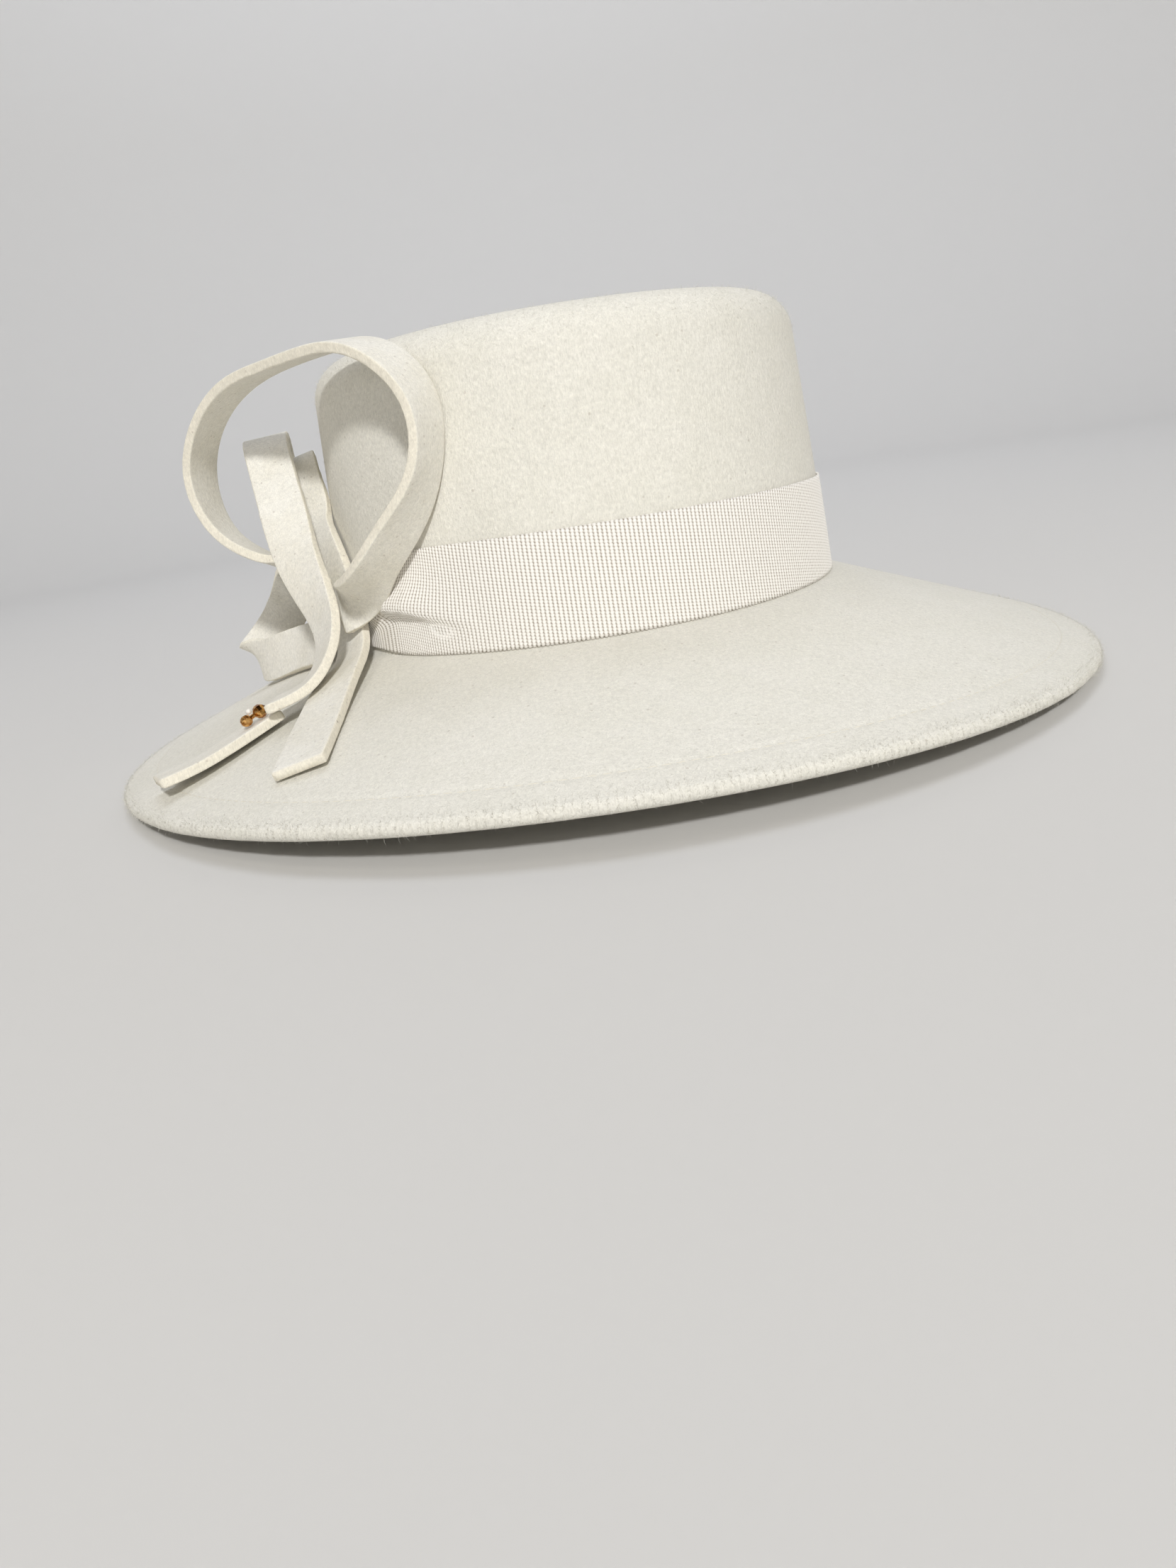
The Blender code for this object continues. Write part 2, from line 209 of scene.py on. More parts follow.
# %% Felt
def felt_finish(name, pale, deep, nap, flecks, cut_tone=None):
    """Pale and deep cream in patches, darkened between the streaks, with a few specks; nap is how
    much the streaks stand up, flecks the share of cells that hold a speck."""
    material, tree, shader = new_finish(name, roughness=0.92, sheen=0.12)
    shader.inputs["Sheen Tint"].default_value = tone(255, 250, 240)
    shader.inputs["Specular IOR Level"].default_value = 0.2
    place = add(tree, "ShaderNodeTexCoord", out="Object")

    def streak(turn, across, along):
        """Short streaks: a noise squeezed across the hair and drawn out along it."""
        turned = add(tree, "ShaderNodeMapping", {0: place, "Rotation": turn,
                                                 "Scale": (across, across, along)})
        return add(tree, "ShaderNodeTexNoise", {"Vector": turned, "Scale": 1.0, "Detail": 2.0})

    streaks = [streak((0.3, 0.2, 0.1), 2600, 700), streak((1.4, 0.5, 0.9), 2300, 650),
               streak((0.9, 1.5, 2.0), 2900, 800)]
    mat = sums(tree, "MAXIMUM", sums(tree, "MAXIMUM", streaks[0], streaks[1]), streaks[2])
    clumps = add(tree, "ShaderNodeTexNoise", {"Vector": place, "Scale": 900.0, "Detail": 3.0,
                                              "Roughness": 0.7})
    patches = add(tree, "ShaderNodeTexNoise", {"Vector": place, "Scale": 60.0, "Detail": 4.0,
                                               "Roughness": 0.65})
    patches = add(tree, "ShaderNodeMapRange", {"Value": patches, "From Min": 0.35,
                                               "From Max": 0.65})
    colour = blend(tree, patches, deep, pale)
    shade = add(tree, "ShaderNodeMapRange", {"Value": mat, "From Min": 0.45, "From Max": 0.75,
                                             "To Min": 0.88, "To Max": 1.04})
    grain = add(tree, "ShaderNodeMapRange", {"Value": clumps, "From Min": 0.3, "From Max": 0.7,
                                             "To Min": 0.9, "To Max": 1.06})
    shade = sums(tree, "MULTIPLY", shade, grain)
    if cut_tone:
        cut = add(tree, "ShaderNodeAttribute", out="Fac", attribute_name="cut")
        colour = blend(tree, cut, colour, cut_tone)
    colour = blend(tree, 1.0, colour, add(tree, "ShaderNodeCombineColor",
                                          {0: shade, 1: shade, 2: shade}), "MULTIPLY")
    large_specks, small_specks = (130.0, flecks, 0.05, 0.5), (420.0, 3 * flecks, 0.16, 0.22)
    for scale, share, radius, strength in (large_specks, small_specks):
        cells = tree.nodes.new("ShaderNodeTexVoronoi")
        tree.links.new(place, cells.inputs["Vector"])
        cells.inputs["Scale"].default_value = scale
        chosen = sums(tree, "GREATER_THAN", add(tree, "ShaderNodeSeparateColor",
                                                {0: cells.outputs["Color"]}), 1 - share)
        near = sums(tree, "LESS_THAN", cells.outputs["Distance"], radius)
        speck = sums(tree, "MULTIPLY", sums(tree, "MULTIPLY", chosen, near), strength)
        colour = blend(tree, speck, colour, tone(120, 92, 70))
    tree.links.new(colour, shader.inputs["Base Color"])
    height = sums(tree, "MULTIPLY_ADD", clumps, 0.9, mat)
    bump = add(tree, "ShaderNodeBump", {"Strength": nap, "Distance": 0.00035, "Height": height})
    tree.links.new(bump, shader.inputs["Normal"])
    return material


wool_felt = felt_finish("cream wool felt", tone(238, 235, 225), tone(235, 232, 221), nap=0.7,
                        flecks=0.03)
strip_felt = felt_finish("cream felt strip", tone(244, 241, 232), tone(237, 233, 221), nap=0.4,
                         flecks=0.09, cut_tone=tone(243, 237, 221))
print("felt finishes:", wool_felt.name, "/", strip_felt.name)


# %% [markdown]
# ## The felt body
# Steamed felt is pulled over a block, so every level of the crown is the same oval, drawn in a
# little higher up, with a rounded edge and a flat tip. The brim runs on from the foot as a cone
# that drops more at the sides than in front and behind. Its edge is turned under and sewn down,
# which makes it thicker and soft. Hand work is never exact: slow swells run round the crown, and
# the edge is slightly lumpy.

# %% Shapes of crown and brim
BRIM_REACH = BRIM_HALF_WIDTH - HEM_THICKNESS / 2 - CROWN_HALF_WIDTH
STITCH_INSET = 1.0            # how far the stitches lie inside the turned edge
HEM_RUN = 1.0 - (HEM_WIDTH - STITCH_INSET) / BRIM_REACH
HEM_GROOVE_WIDE, HEM_GROOVE_DEEP = 0.012, 0.35


def blocking(angle, height):
    """Slow swells of the wall: cosines of 2, 3 and 5 turns round, stronger higher up, and faded
    out beside the bow."""
    swell = (0.5 * np.cos(3 * angle + 0.6 + height / 60) + 0.35 * np.cos(5 * angle - height / 35)
             + 0.4 * np.cos(2 * angle + 2.1))
    from_bow = np.abs((np.degrees(angle) - BOW_HEADING + 180) % 360 - 180)
    return swell * np.clip(height / 60, 0, 1) * np.clip((from_bow - 35) / 40, 0, 1)


def wall_offset(height):
    """Lean of the wall, a straight line, and then a quarter circle in to the tip."""
    lean = -CROWN_TAPER * np.minimum(height, CROWN_HEIGHT - TIP_RADIUS)
    climb = np.clip(height - (CROWN_HEIGHT - TIP_RADIUS), 0.0, TIP_RADIUS)
    return lean - (TIP_RADIUS - np.sqrt(TIP_RADIUS ** 2 - climb ** 2))


def crown_points(angle, offset, height, share=1.0):
    """Points of the oval: (a + offset) cos, (b + offset) sin, at a height above the foot."""
    offset = offset + blocking(angle, height)
    x = share * (CROWN_HALF_WIDTH + offset) * np.cos(angle)
    y = share * (CROWN_HALF_LENGTH + offset) * np.sin(angle)
    return np.stack(np.broadcast_arrays(x, y, FOOT_HEIGHT + height), axis=-1)


def brim_drop(angle):
    """Fall of the brim from foot to edge: its mean and a wave of two crests."""
    return BRIM_DROP + BRIM_WAVE * np.cos(2 * angle)


def brim_slope(angle):
    """Angle of the brim under the level: its fall over its reach."""
    return np.arctan2(brim_drop(angle), BRIM_REACH)


def brim_points(angle, run, below):
    """Points of the cone: run goes from 0 at the foot to 1 where the edge rounds off, and below
    is the depth under the top face, square to it."""
    edge = HEM_THICKNESS / 2
    slope = brim_slope(angle)
    inward = below * np.sin(slope)
    x = (CROWN_HALF_WIDTH + run * (BRIM_HALF_WIDTH - edge - CROWN_HALF_WIDTH) - inward)
    y = (CROWN_HALF_LENGTH + run * (BRIM_HALF_LENGTH - edge - CROWN_HALF_LENGTH) - inward)
    z = FOOT_HEIGHT - run * brim_drop(angle) - below * np.cos(slope)
    return np.stack(np.broadcast_arrays(x * np.cos(angle), y * np.sin(angle), z), axis=-1)


def edge_points(angle, turn):
    """Points of the rolled edge: a half circle from the top face round to the underside, with a
    radius that wanders a little."""
    radius = HEM_THICKNESS / 2
    lump = 1 + 0.05 * np.cos(31 * angle) * np.cos(7 * angle + 1) + 0.04 * np.cos(83 * angle + 2)
    middle = brim_points(angle, 1.0, radius)
    facing = np.pi / 2 - brim_slope(angle) - np.radians(turn)
    out = np.cos(facing) * radius * lump
    up = np.sin(facing) * radius
    return middle + np.stack(np.broadcast_arrays(out * np.cos(angle), out * np.sin(angle), up),
                             axis=-1)


def groove(run, at, wide, deep):
    """A furrow: a bell curve of that depth across the run."""
    return deep * np.exp(-((run - at) / wide) ** 2)


print("the brim reaches", round(BRIM_REACH, 1), "mm and its stitches lie at", round(HEM_RUN, 3))

# %% Sweep the section round
ROUND = 540
angle = (np.arange(ROUND) * 2 * np.pi / ROUND)[:, None]
shoulder = CROWN_HEIGHT - TIP_RADIUS
tip_in = wall_offset(CROWN_HEIGHT)


def tip_section(angle, below, shares):
    """The tip: the oval shrunk towards the middle, rising as a low dome."""
    return crown_points(angle, tip_in, CROWN_HEIGHT - below + TIP_DOME * (1 - shares ** 2), shares)


turn = np.linspace(0, np.pi / 2, 15)[1:]
outer_round = shoulder + TIP_RADIUS * np.cos(turn)
wall = np.linspace(shoulder - 3, 2.0, 24)
run_top = np.concatenate([np.linspace(0.012, 0.8, 30), np.linspace(0.81, 1.0, 18)])
run_under = np.linspace(1.0, 0.01, 22)
step_up = np.clip((run_under - (1 - HEM_WIDTH / BRIM_REACH)) * 40, 0, 1)
inner_wall = np.linspace(1.0, shoulder, 12)
inner_turn = np.linspace(0, np.pi / 2, 8)[1:-1]
foot = crown_points(angle, 0.25 * FOOT_FILLET, np.array([0.2 * FOOT_FILLET]))
sections = [
    tip_section(angle, 0.0, np.linspace(0.06, 1.0, 17)),
    crown_points(angle, wall_offset(outer_round), outer_round),
    crown_points(angle, wall_offset(wall), wall),
    foot,
    brim_points(angle, run_top, groove(run_top, HEM_RUN, HEM_GROOVE_WIDE, HEM_GROOVE_DEEP)),
    edge_points(angle, np.linspace(12, 168, 14)),
    brim_points(angle, run_under, FELT + (HEM_THICKNESS - FELT) * step_up),
    crown_points(angle, wall_offset(inner_wall) - FELT, inner_wall),
    crown_points(angle, wall_offset(shoulder + TIP_RADIUS * np.sin(inner_turn))
                 - FELT * np.cos(inner_turn),
                 shoulder + (TIP_RADIUS - FELT) * np.sin(inner_turn)),
    tip_section(angle, FELT, np.linspace(1.0, 0.06, 9)),
]
skin = np.concatenate(sections, axis=1)
skin[..., 2] = np.maximum(skin[..., 2], 0.0)
levels = skin.shape[1]
poles = np.array([[0, 0, FOOT_HEIGHT + CROWN_HEIGHT + TIP_DOME],
                  [0, 0, FOOT_HEIGHT + CROWN_HEIGHT + TIP_DOME - FELT]])
faces = grid_faces(ROUND, levels, grid_corners(ROUND, levels, wrap_rows=True))
here = np.arange(ROUND) * levels
there = np.roll(here, -1)
top_fan = np.stack([here, there, np.full(ROUND, ROUND * levels)], axis=1)
under_fan = np.stack([there + levels - 1, here + levels - 1,
                      np.full(ROUND, ROUND * levels + 1)], axis=1)
body_piece = mesh_piece("felt_hat_body", np.concatenate([skin.reshape(-1, 3), poles]),
                        [*faces[:, ::-1], *top_fan, *under_fan], wool_felt)
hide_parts("felt_body")
print("felt body:", len(body_piece.data.polygons), "faces,", levels, "points in the section")


# %% [markdown]
# ## The hem's stitches
# The turned edge is held by a row of machine stitches that sink into the felt. Each stitch is a
# short bead of thread, thicker in the middle. One stitch's shape is worked out once and laid
# down all round as arrays, on top and underneath.

# %% Hem stitches
STITCH_SPACING, STITCH_RADIUS = 3.5, 0.16
STITCH_SIDES = 6
STITCH_PROFILE = (            # place along the stitch as a share of the spacing, share of radius
    (-0.36, 0.35),
    (-0.2, 0.85),
    (0.0, 1.0),
    (0.2, 0.85),
    (0.36, 0.35),
)
STITCH_POINTS = len(STITCH_PROFILE) * STITCH_SIDES


def stitch_row(depth, run):
    """Small spindles along the hem: points are middle + along * s + (side, up) * r(s)."""
    fine = np.linspace(0, 2 * np.pi, 4001)[:, None]
    path = brim_points(fine, np.array([run]), depth)[:, 0]
    length = np.concatenate([[0], np.cumsum(np.linalg.norm(np.diff(path, axis=0), axis=1))])
    count = int(length[-1] / STITCH_SPACING)
    place = (np.arange(count) + 0.5) * length[-1] / count
    middle = np.stack([np.interp(place, length, path[:, k]) for k in range(3)], axis=1)
    ahead = np.stack([np.interp((place + 0.5) % length[-1], length, path[:, k])
                      for k in range(3)], axis=1) - middle
    ahead /= np.linalg.norm(ahead, axis=1, keepdims=True)
    up = np.array([0, 0, 1.0]) - ahead * ahead[:, 2:]
    up /= np.linalg.norm(up, axis=1, keepdims=True)
    side = np.cross(ahead, up)
    along, size = np.array(STITCH_PROFILE).T * [[STITCH_SPACING], [STITCH_RADIUS]]
    turns = np.arange(STITCH_SIDES) * 2 * np.pi / STITCH_SIDES
    ring = (middle[:, None, None] + ahead[:, None, None] * along[None, :, None, None]
            + side[:, None, None] * (size[None, :, None, None] * np.cos(turns)[:, None])
            + up[:, None, None] * (size[None, :, None, None] * np.sin(turns)[:, None]))
    corners = grid_corners(len(along), STITCH_SIDES, wrap_columns=True)
    one = grid_faces(len(along), STITCH_SIDES, corners)
    shift = (np.arange(count) * STITCH_POINTS)[:, None]
    quads = (shift[:, :, None] + one[None]).reshape(-1, 4)
    cap = np.arange(STITCH_SIDES)
    caps = np.concatenate([shift + cap[::-1], shift + STITCH_POINTS - STITCH_SIDES + cap])
    return ring.reshape(-1, 3), quads, caps


thread, thread_tree, thread_shader = new_finish("cream thread", roughness=0.6, sheen=0.1)
thread_shader.inputs["Base Color"].default_value = tone(226, 220, 204)
twist_place = add(thread_tree, "ShaderNodeTexCoord", out="Object")
twist = add(thread_tree, "ShaderNodeTexNoise", {"Vector": twist_place, "Scale": 3200.0})
thread_tree.links.new(add(thread_tree, "ShaderNodeBump", {"Height": twist, "Strength": 0.5,
                                                          "Distance": 0.00005}),
                      thread_shader.inputs["Normal"])
rows = [stitch_row(0.33, HEM_RUN), stitch_row(HEM_THICKNESS + 0.02, HEM_RUN)]
points = np.concatenate([row[0] for row in rows])
quads = np.concatenate([rows[0][1], rows[1][1] + len(rows[0][0])])
caps = np.concatenate([rows[0][2], rows[1][2] + len(rows[0][0])])
stitching = mesh_piece("hem_stitches", points, [*quads, *caps], thread)
print("stitches:", len(points) // STITCH_POINTS)


# %% [markdown]
# ## The ribbon
# Grosgrain is woven with thick cross threads, which stand up as ribs from edge to edge, and the
# fine threads that wrap them look like rows of small knots. The band lies on the crown and is
# pinched together under the bow: its upper edge dips, and one pleat runs out of the pinch. The
# ribs and the notched edges are real relief on a dense grid; the knots are drawn by the finish in
# the ribbon's own coordinates, along and across, in metres, as bump and as painted shade in the
# valleys between the ribs and in the pinches between the knots.

# %% Grosgrain finish
RIB, KNOT = 1.3, 0.95


def grosgrain_finish():
    """Painted shade in the valleys between the ribs and in the pinches between the knots, darkest
    where the two meet: both are sines of the cloth's own lengths, and each rib's knots are shifted
    against the last one's."""
    material, tree, shader = new_finish("cream grosgrain ribbon", roughness=0.62, sheen=0.05)
    shader.inputs["Specular IOR Level"].default_value = 0.35
    place = add(tree, "ShaderNodeUVMap", uv_map="cloth")
    split = tree.nodes.new("ShaderNodeSeparateXYZ")
    tree.links.new(place, split.inputs[0])
    along = sums(tree, "MULTIPLY", split.outputs[0], 1 / (RIB * MM))
    across = sums(tree, "MULTIPLY", split.outputs[1], 1 / (KNOT * MM))
    shift = sums(tree, "MULTIPLY", sums(tree, "FLOOR", along), 0.22)
    rib = sums(tree, "ABSOLUTE", sums(tree, "SINE", sums(tree, "MULTIPLY", along, np.pi)))
    knot = sums(tree, "ABSOLUTE", sums(tree, "SINE", sums(
        tree, "MULTIPLY", sums(tree, "ADD", across, shift), np.pi)))
    valley = sums(tree, "POWER", sums(tree, "SUBTRACT", 1.0, rib), 1.6)
    pinch = sums(tree, "POWER", sums(tree, "SUBTRACT", 1.0, knot), 1.4)
    knot_shade = sums(tree, "MULTIPLY", sums(tree, "SUBTRACT", 1.0, rib), pinch)
    uneven = add(tree, "ShaderNodeTexNoise", {"Vector": place, "Scale": 1400.0, "Detail": 2.0})
    weave_shade = sums(tree, "MULTIPLY_ADD", knot_shade, 0.7, sums(tree, "MULTIPLY", pinch, 0.16))
    weave_shade = sums(tree, "MULTIPLY_ADD", valley, 0.62, weave_shade)
    weave_shade = sums(tree, "MULTIPLY", weave_shade, add(tree, "ShaderNodeMapRange", {
        "Value": uneven, "From Min": 0.3, "From Max": 0.7, "To Min": 0.75, "To Max": 1.15}))
    weave = sums(tree, "SUBTRACT", 1.0, weave_shade)
    # Painted shade: the valleys and the gaps between knots are darkened in the colour towards a
    # shaded brown cream.
    colour = blend(tree, weave_shade, tone(252, 249, 243), tone(150, 138, 122))
    tree.links.new(colour, shader.inputs["Base Color"])
    bump = add(tree, "ShaderNodeBump", {"Strength": 0.5, "Distance": 0.0002, "Height": weave})
    tree.links.new(bump, shader.inputs["Normal"])
    return material


grosgrain = grosgrain_finish()
print("ribs every", RIB, "mm")

# %% Ribbon shape
GATHER_SPREAD, GATHER_DIP, GATHER_LIFT = 10.0, 21.0, 2.0
PLEAT_ABOVE, PLEAT_BELOW = 7.5, 2.2
PLEAT_COLUMNS = ("away", "ridge", "stand")
PLEAT = (
    (-6.0, 6.5, 0.0),
    (-1.0, 8.4, 0.3),
    (6.0, 12.0, 0.8),
    (10.0, 13.8, 0.6),
    (14.0, 15.0, 3.3),
    (18.0, 14.4, 3.5),
    (23.0, 12.2, 1.9),
    (32.0, 9.0, 0.0),
)
PLEAT_PULL = 4.0              # degrees that the pleat drags the ribs towards the pinch


def ribbon_points(away, across, off):
    """away: degrees round from the bow. across: 0 at the lower edge, 1 at the upper. The edges
    close up on each other by a bell curve, and the pleat is a ridge that falls off above and
    below it as bell curves of two widths."""
    share = np.exp(-(away / GATHER_SPREAD) ** 2)
    lower = RIBBON_BOTTOM + GATHER_LIFT * share
    upper = RIBBON_BOTTOM + RIBBON_WIDTH - GATHER_DIP * share
    height = lower + (upper - lower) * across
    places, ridges, stands = np.array(PLEAT).T
    rise = height - np.interp(away, places, ridges)
    rounding = np.where(rise > 0, PLEAT_ABOVE, PLEAT_BELOW)
    bell = np.exp(-(rise / rounding) ** 2)
    pleat = np.interp(away, places, stands) * bell
    pull = PLEAT_PULL * bell * np.exp(-((away - 11) / 9) ** 2)
    spin = np.radians(BOW_HEADING + away - pull)
    return crown_points(spin, wall_offset(height) + CLEARANCE + pleat + off, height)


def even_steps(samples):
    """Places round the crown, in degrees from the bow, that are evenly spaced along the cloth."""
    fine = np.linspace(-180, 180, 3601)
    path = ribbon_points(fine[:, None], np.array([0.5]), 0.0)[:, 0]
    length = np.concatenate([[0], np.cumsum(np.linalg.norm(np.diff(path, axis=0), axis=1))])
    return np.interp(np.linspace(0, length[-1], samples, endpoint=False), length, fine), length[-1]


print("each row of the pleat gives", ", ".join(PLEAT_COLUMNS))

# %% Weave the ribbon
COLUMNS_PER_RIB = 5
NOTCH, RIB_DEPTH = 0.007, 0.25    # edge notch as a share of the width; depth of a valley
_, ribbon_length = even_steps(10)
ribs = int(round(ribbon_length / RIB))
away, _ = even_steps(ribs * COLUMNS_PER_RIB)
phase = np.arange(len(away)) / COLUMNS_PER_RIB
crest = np.abs(np.sin(np.pi * phase))[:, None] ** 0.7
outer = np.linspace(0, 1, 27)
notch = NOTCH * crest
outer_rows = ribbon_points(away[:, None], outer[None] + (outer[None] - 0.5) * 2 * notch,
                           RIBBON_THICKNESS - RIB_DEPTH * (1 - crest))
inner_rows = ribbon_points(away[:, None], np.linspace(1, 0, 4)[None], 0.0)
band = np.concatenate([outer_rows, inner_rows], axis=1)
columns = band.shape[1]
corners = grid_corners(len(away), columns, wrap_rows=True, wrap_columns=True)
across_mm = np.concatenate([outer, [1, 0.66, 0.33, 0, 0]]) * RIBBON_WIDTH
uv = np.stack([corners[0] * RIB / COLUMNS_PER_RIB, across_mm[corners[1]]], axis=-1) * MM
ribbon = mesh_piece("grosgrain_ribbon", band.reshape(-1, 3),
                    grid_faces(len(away), columns, corners), grosgrain)
lay_pattern(ribbon, uv.reshape(-1, 2))
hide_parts("ribbon_band")
print("ribbon:", round(ribbon_length), "mm round,", ribs, "ribs,", len(ribbon.data.polygons),
      "faces")

# %% [markdown]
# ## The bow
# Four strips are cut from pressed felt with a blade, so their section is a rectangle with crisp
# but slightly furry corners. A strip is stiff: it bends in smooth curves and twists as it goes.
# Each route is a short table of the strip's middle line with the direction of its width, and a
# cubic spline runs through the rows. The section is then carried along it.

# %% Routes of the strips
STRIP_WIDTH, STRIP_THICKNESS, CORNER, STRIP_STEP = 15.5, 3.0, 0.5, 0.9
STRIP_COLUMNS = ("x", "y", "height", "heading", "rise")
RING_LOOP = (
    (-76.0, -66.9, 15.2, -50, -55),
    (-70.5, -70.5, 18.1, -22, -42),
    (-61.5, -83.5, 24.5, 36, -18),
    (-48.5, -91.5, 37.0, 52, -15),
    (-36.0, -95.0, 53.5, 70, -7),
    (-34.0, -94.5, 73.0, 64, 2),
    (-46.0, -88.0, 87.5, 54, 4),
    (-62.5, -76.0, 91.0, 53, 5),
    (-78.5, -64.0, 90.5, 55, 6),
    (-95.5, -52.5, 88.0, 59, 5),
    (-111.0, -43.5, 79.0, 67, 8),
    (-120.5, -38.0, 62.0, 76, 4),
    (-115.5, -38.5, 42.5, 85, -5),
    (-98.5, -42.5, 31.0, 86, -16),
    (-88.5, -51.0, 25.0, 105, -42),
    (-81.5, -57.5, 18.8, 122, -56),
)
UPRIGHT_LOOP = (
    (-95.5, -93.6, -6.3, 113, -5),
    (-85.5, -89.5, -3.2, 117, -9),
    (-80.5, -82.5, 2.5, 125, -18),
    (-80.0, -71.5, 13.5, 138, -26),
    (-86.0, -62.5, 28.5, 165, -28),
    (-92.0, -49.0, 45.0, 183, -13),
    (-97.2, -34.5, 61.5, 180, -10),
    (-100.0, -25.5, 70.5, 180, -4),
    (-102.0, -17.0, 71.2, 181, -5),
    (-103.3, -11.8, 65.5, 182, -6),
    (-102.3, -11.3, 59.0, 183, -8),
    (-99.3, -13.8, 54.6, 184, -9),
    (-96.0, -17.6, 58.0, 184, -10),
    (-93.6, -20.8, 61.6, 185, -11),
    (-92.2, -24.6, 63.2, 185, -12),
    (-91.2, -27.4, 59.0, 184, -15),
    (-89.0, -31.0, 50.0, 180, -24),
    (-87.5, -35.0, 42.0, 176, -37),
    (-81.5, -48.0, 31.5, 158, -43),
    (-76.0, -57.0, 16.5, 143, -44),
    (-74.5, -65.5, 4.5, 155, -34),
    (-75.5, -84.5, -2.2, 165, -18),
    (-77.0, -106.5, -9.0, 173, -12),
    (-77.0, -136.0, -16.0, 176, -13),
)
LONG_TAIL = (
    (-96.0, -89.0, -10.0, 115, -5),
    (-103.5, -94.5, -13.1, 117, -5),
    (-111.0, -100.5, -16.1, 117, -5),
    (-118.0, -105.0, -18.6, 113, -5),
    (-128.5, -109.6, -20.9, 108, -4),
)
REAR_LOOP = (
    (-87.7, -48.8, 4.0, 95, 45),
    (-99.7, -35.7, 1.8, 95, 57),
    (-112.2, -26.0, -1.4, 100, 72),
    (-121.5, -17.0, -3.4, 118, 72),
    (-126.0, -8.0, -1.5, 145, 44),
    (-120.5, -1.5, 5.5, 162, 20),
    (-113.0, -2.5, 13.0, 172, 6),
    (-107.0, -8.0, 21.0, 178, 0),
    (-100.0, -17.0, 28.0, 178, -6),
    (-93.5, -27.5, 27.5, 170, -20),
    (-89.5, -36.0, 20.0, 150, -38),
)
print("each row of a route gives", ", ".join(STRIP_COLUMNS))


# %% Carry a section along a route
def smooth_run(knots, values, at):
    """Natural cubic spline: the bends at the knots solve one linear system."""
    gaps = np.diff(knots)
    slopes = np.diff(values, axis=0) / gaps[:, None]
    size = len(knots)
    system = np.eye(size)
    right = np.zeros_like(values)
    for i in range(1, size - 1):
        system[i, i - 1:i + 2] = gaps[i - 1], 2 * (gaps[i - 1] + gaps[i]), gaps[i]
        right[i] = 6 * (slopes[i] - slopes[i - 1])
    bend = np.linalg.solve(system, right)
    i = np.clip(np.searchsorted(knots, at, side="right") - 1, 0, size - 2)
    gap = gaps[i][:, None]
    before = (at - knots[i])[:, None]
    after = gap - before
    return ((bend[i] * after ** 3 + bend[i + 1] * before ** 3) / (6 * gap)
            + (values[i] / gap - bend[i] * gap / 6) * after
            + (values[i + 1] / gap - bend[i + 1] * gap / 6) * before)


def strip_frame(route, step):
    """Middle points, and the directions along, across and out of the face, at even steps."""
    rows = np.array(route, float)
    middle = rows[:, :3] + (0.0, 0.0, FOOT_HEIGHT)
    heading, rise = np.radians(rows[:, 3]), np.radians(rows[:, 4])
    width = np.stack([np.cos(heading) * np.cos(rise), np.sin(heading) * np.cos(rise),
                      np.sin(rise)], axis=1)
    knots = np.concatenate([[0.0], np.cumsum(np.linalg.norm(np.diff(middle, axis=0), axis=1))])
    at = np.linspace(0.0, knots[-1], int(knots[-1] / step) + 1)
    points = smooth_run(knots, middle, at)
    across = smooth_run(knots, width, at)
    along = np.gradient(points, axis=0)
    along /= np.linalg.norm(along, axis=1, keepdims=True)
    across -= (across * along).sum(axis=1, keepdims=True) * along
    across /= np.linalg.norm(across, axis=1, keepdims=True)
    return at, points, along, across, np.cross(along, across)


def strip_outline():
    """The rounded rectangle, counted round from one lower corner: place across, place through
    the thickness, and how far it belongs to the cut edge."""
    half, deep = STRIP_WIDTH / 2, STRIP_THICKNESS / 2
    face = np.linspace(-1, 1, 13) * (half - CORNER)
    side = np.linspace(-1, 1, 5) * (deep - CORNER)
    arc = np.radians([22.5, 45, 67.5])
    parts = [np.stack([face, np.full(13, -deep), np.zeros(13)], 1),
             np.stack([half - CORNER + CORNER * np.sin(arc), -deep + CORNER - CORNER * np.cos(arc),
                       [0.3, 0.7, 1.0]], 1),
             np.stack([np.full(5, half), side, np.ones(5)], 1),
             np.stack([half - CORNER + CORNER * np.cos(arc), deep - CORNER + CORNER * np.sin(arc),
                       [1.0, 0.7, 0.3]], 1)]
    one_half = np.concatenate(parts)
    return np.concatenate([one_half, one_half * (-1, -1, 1)])


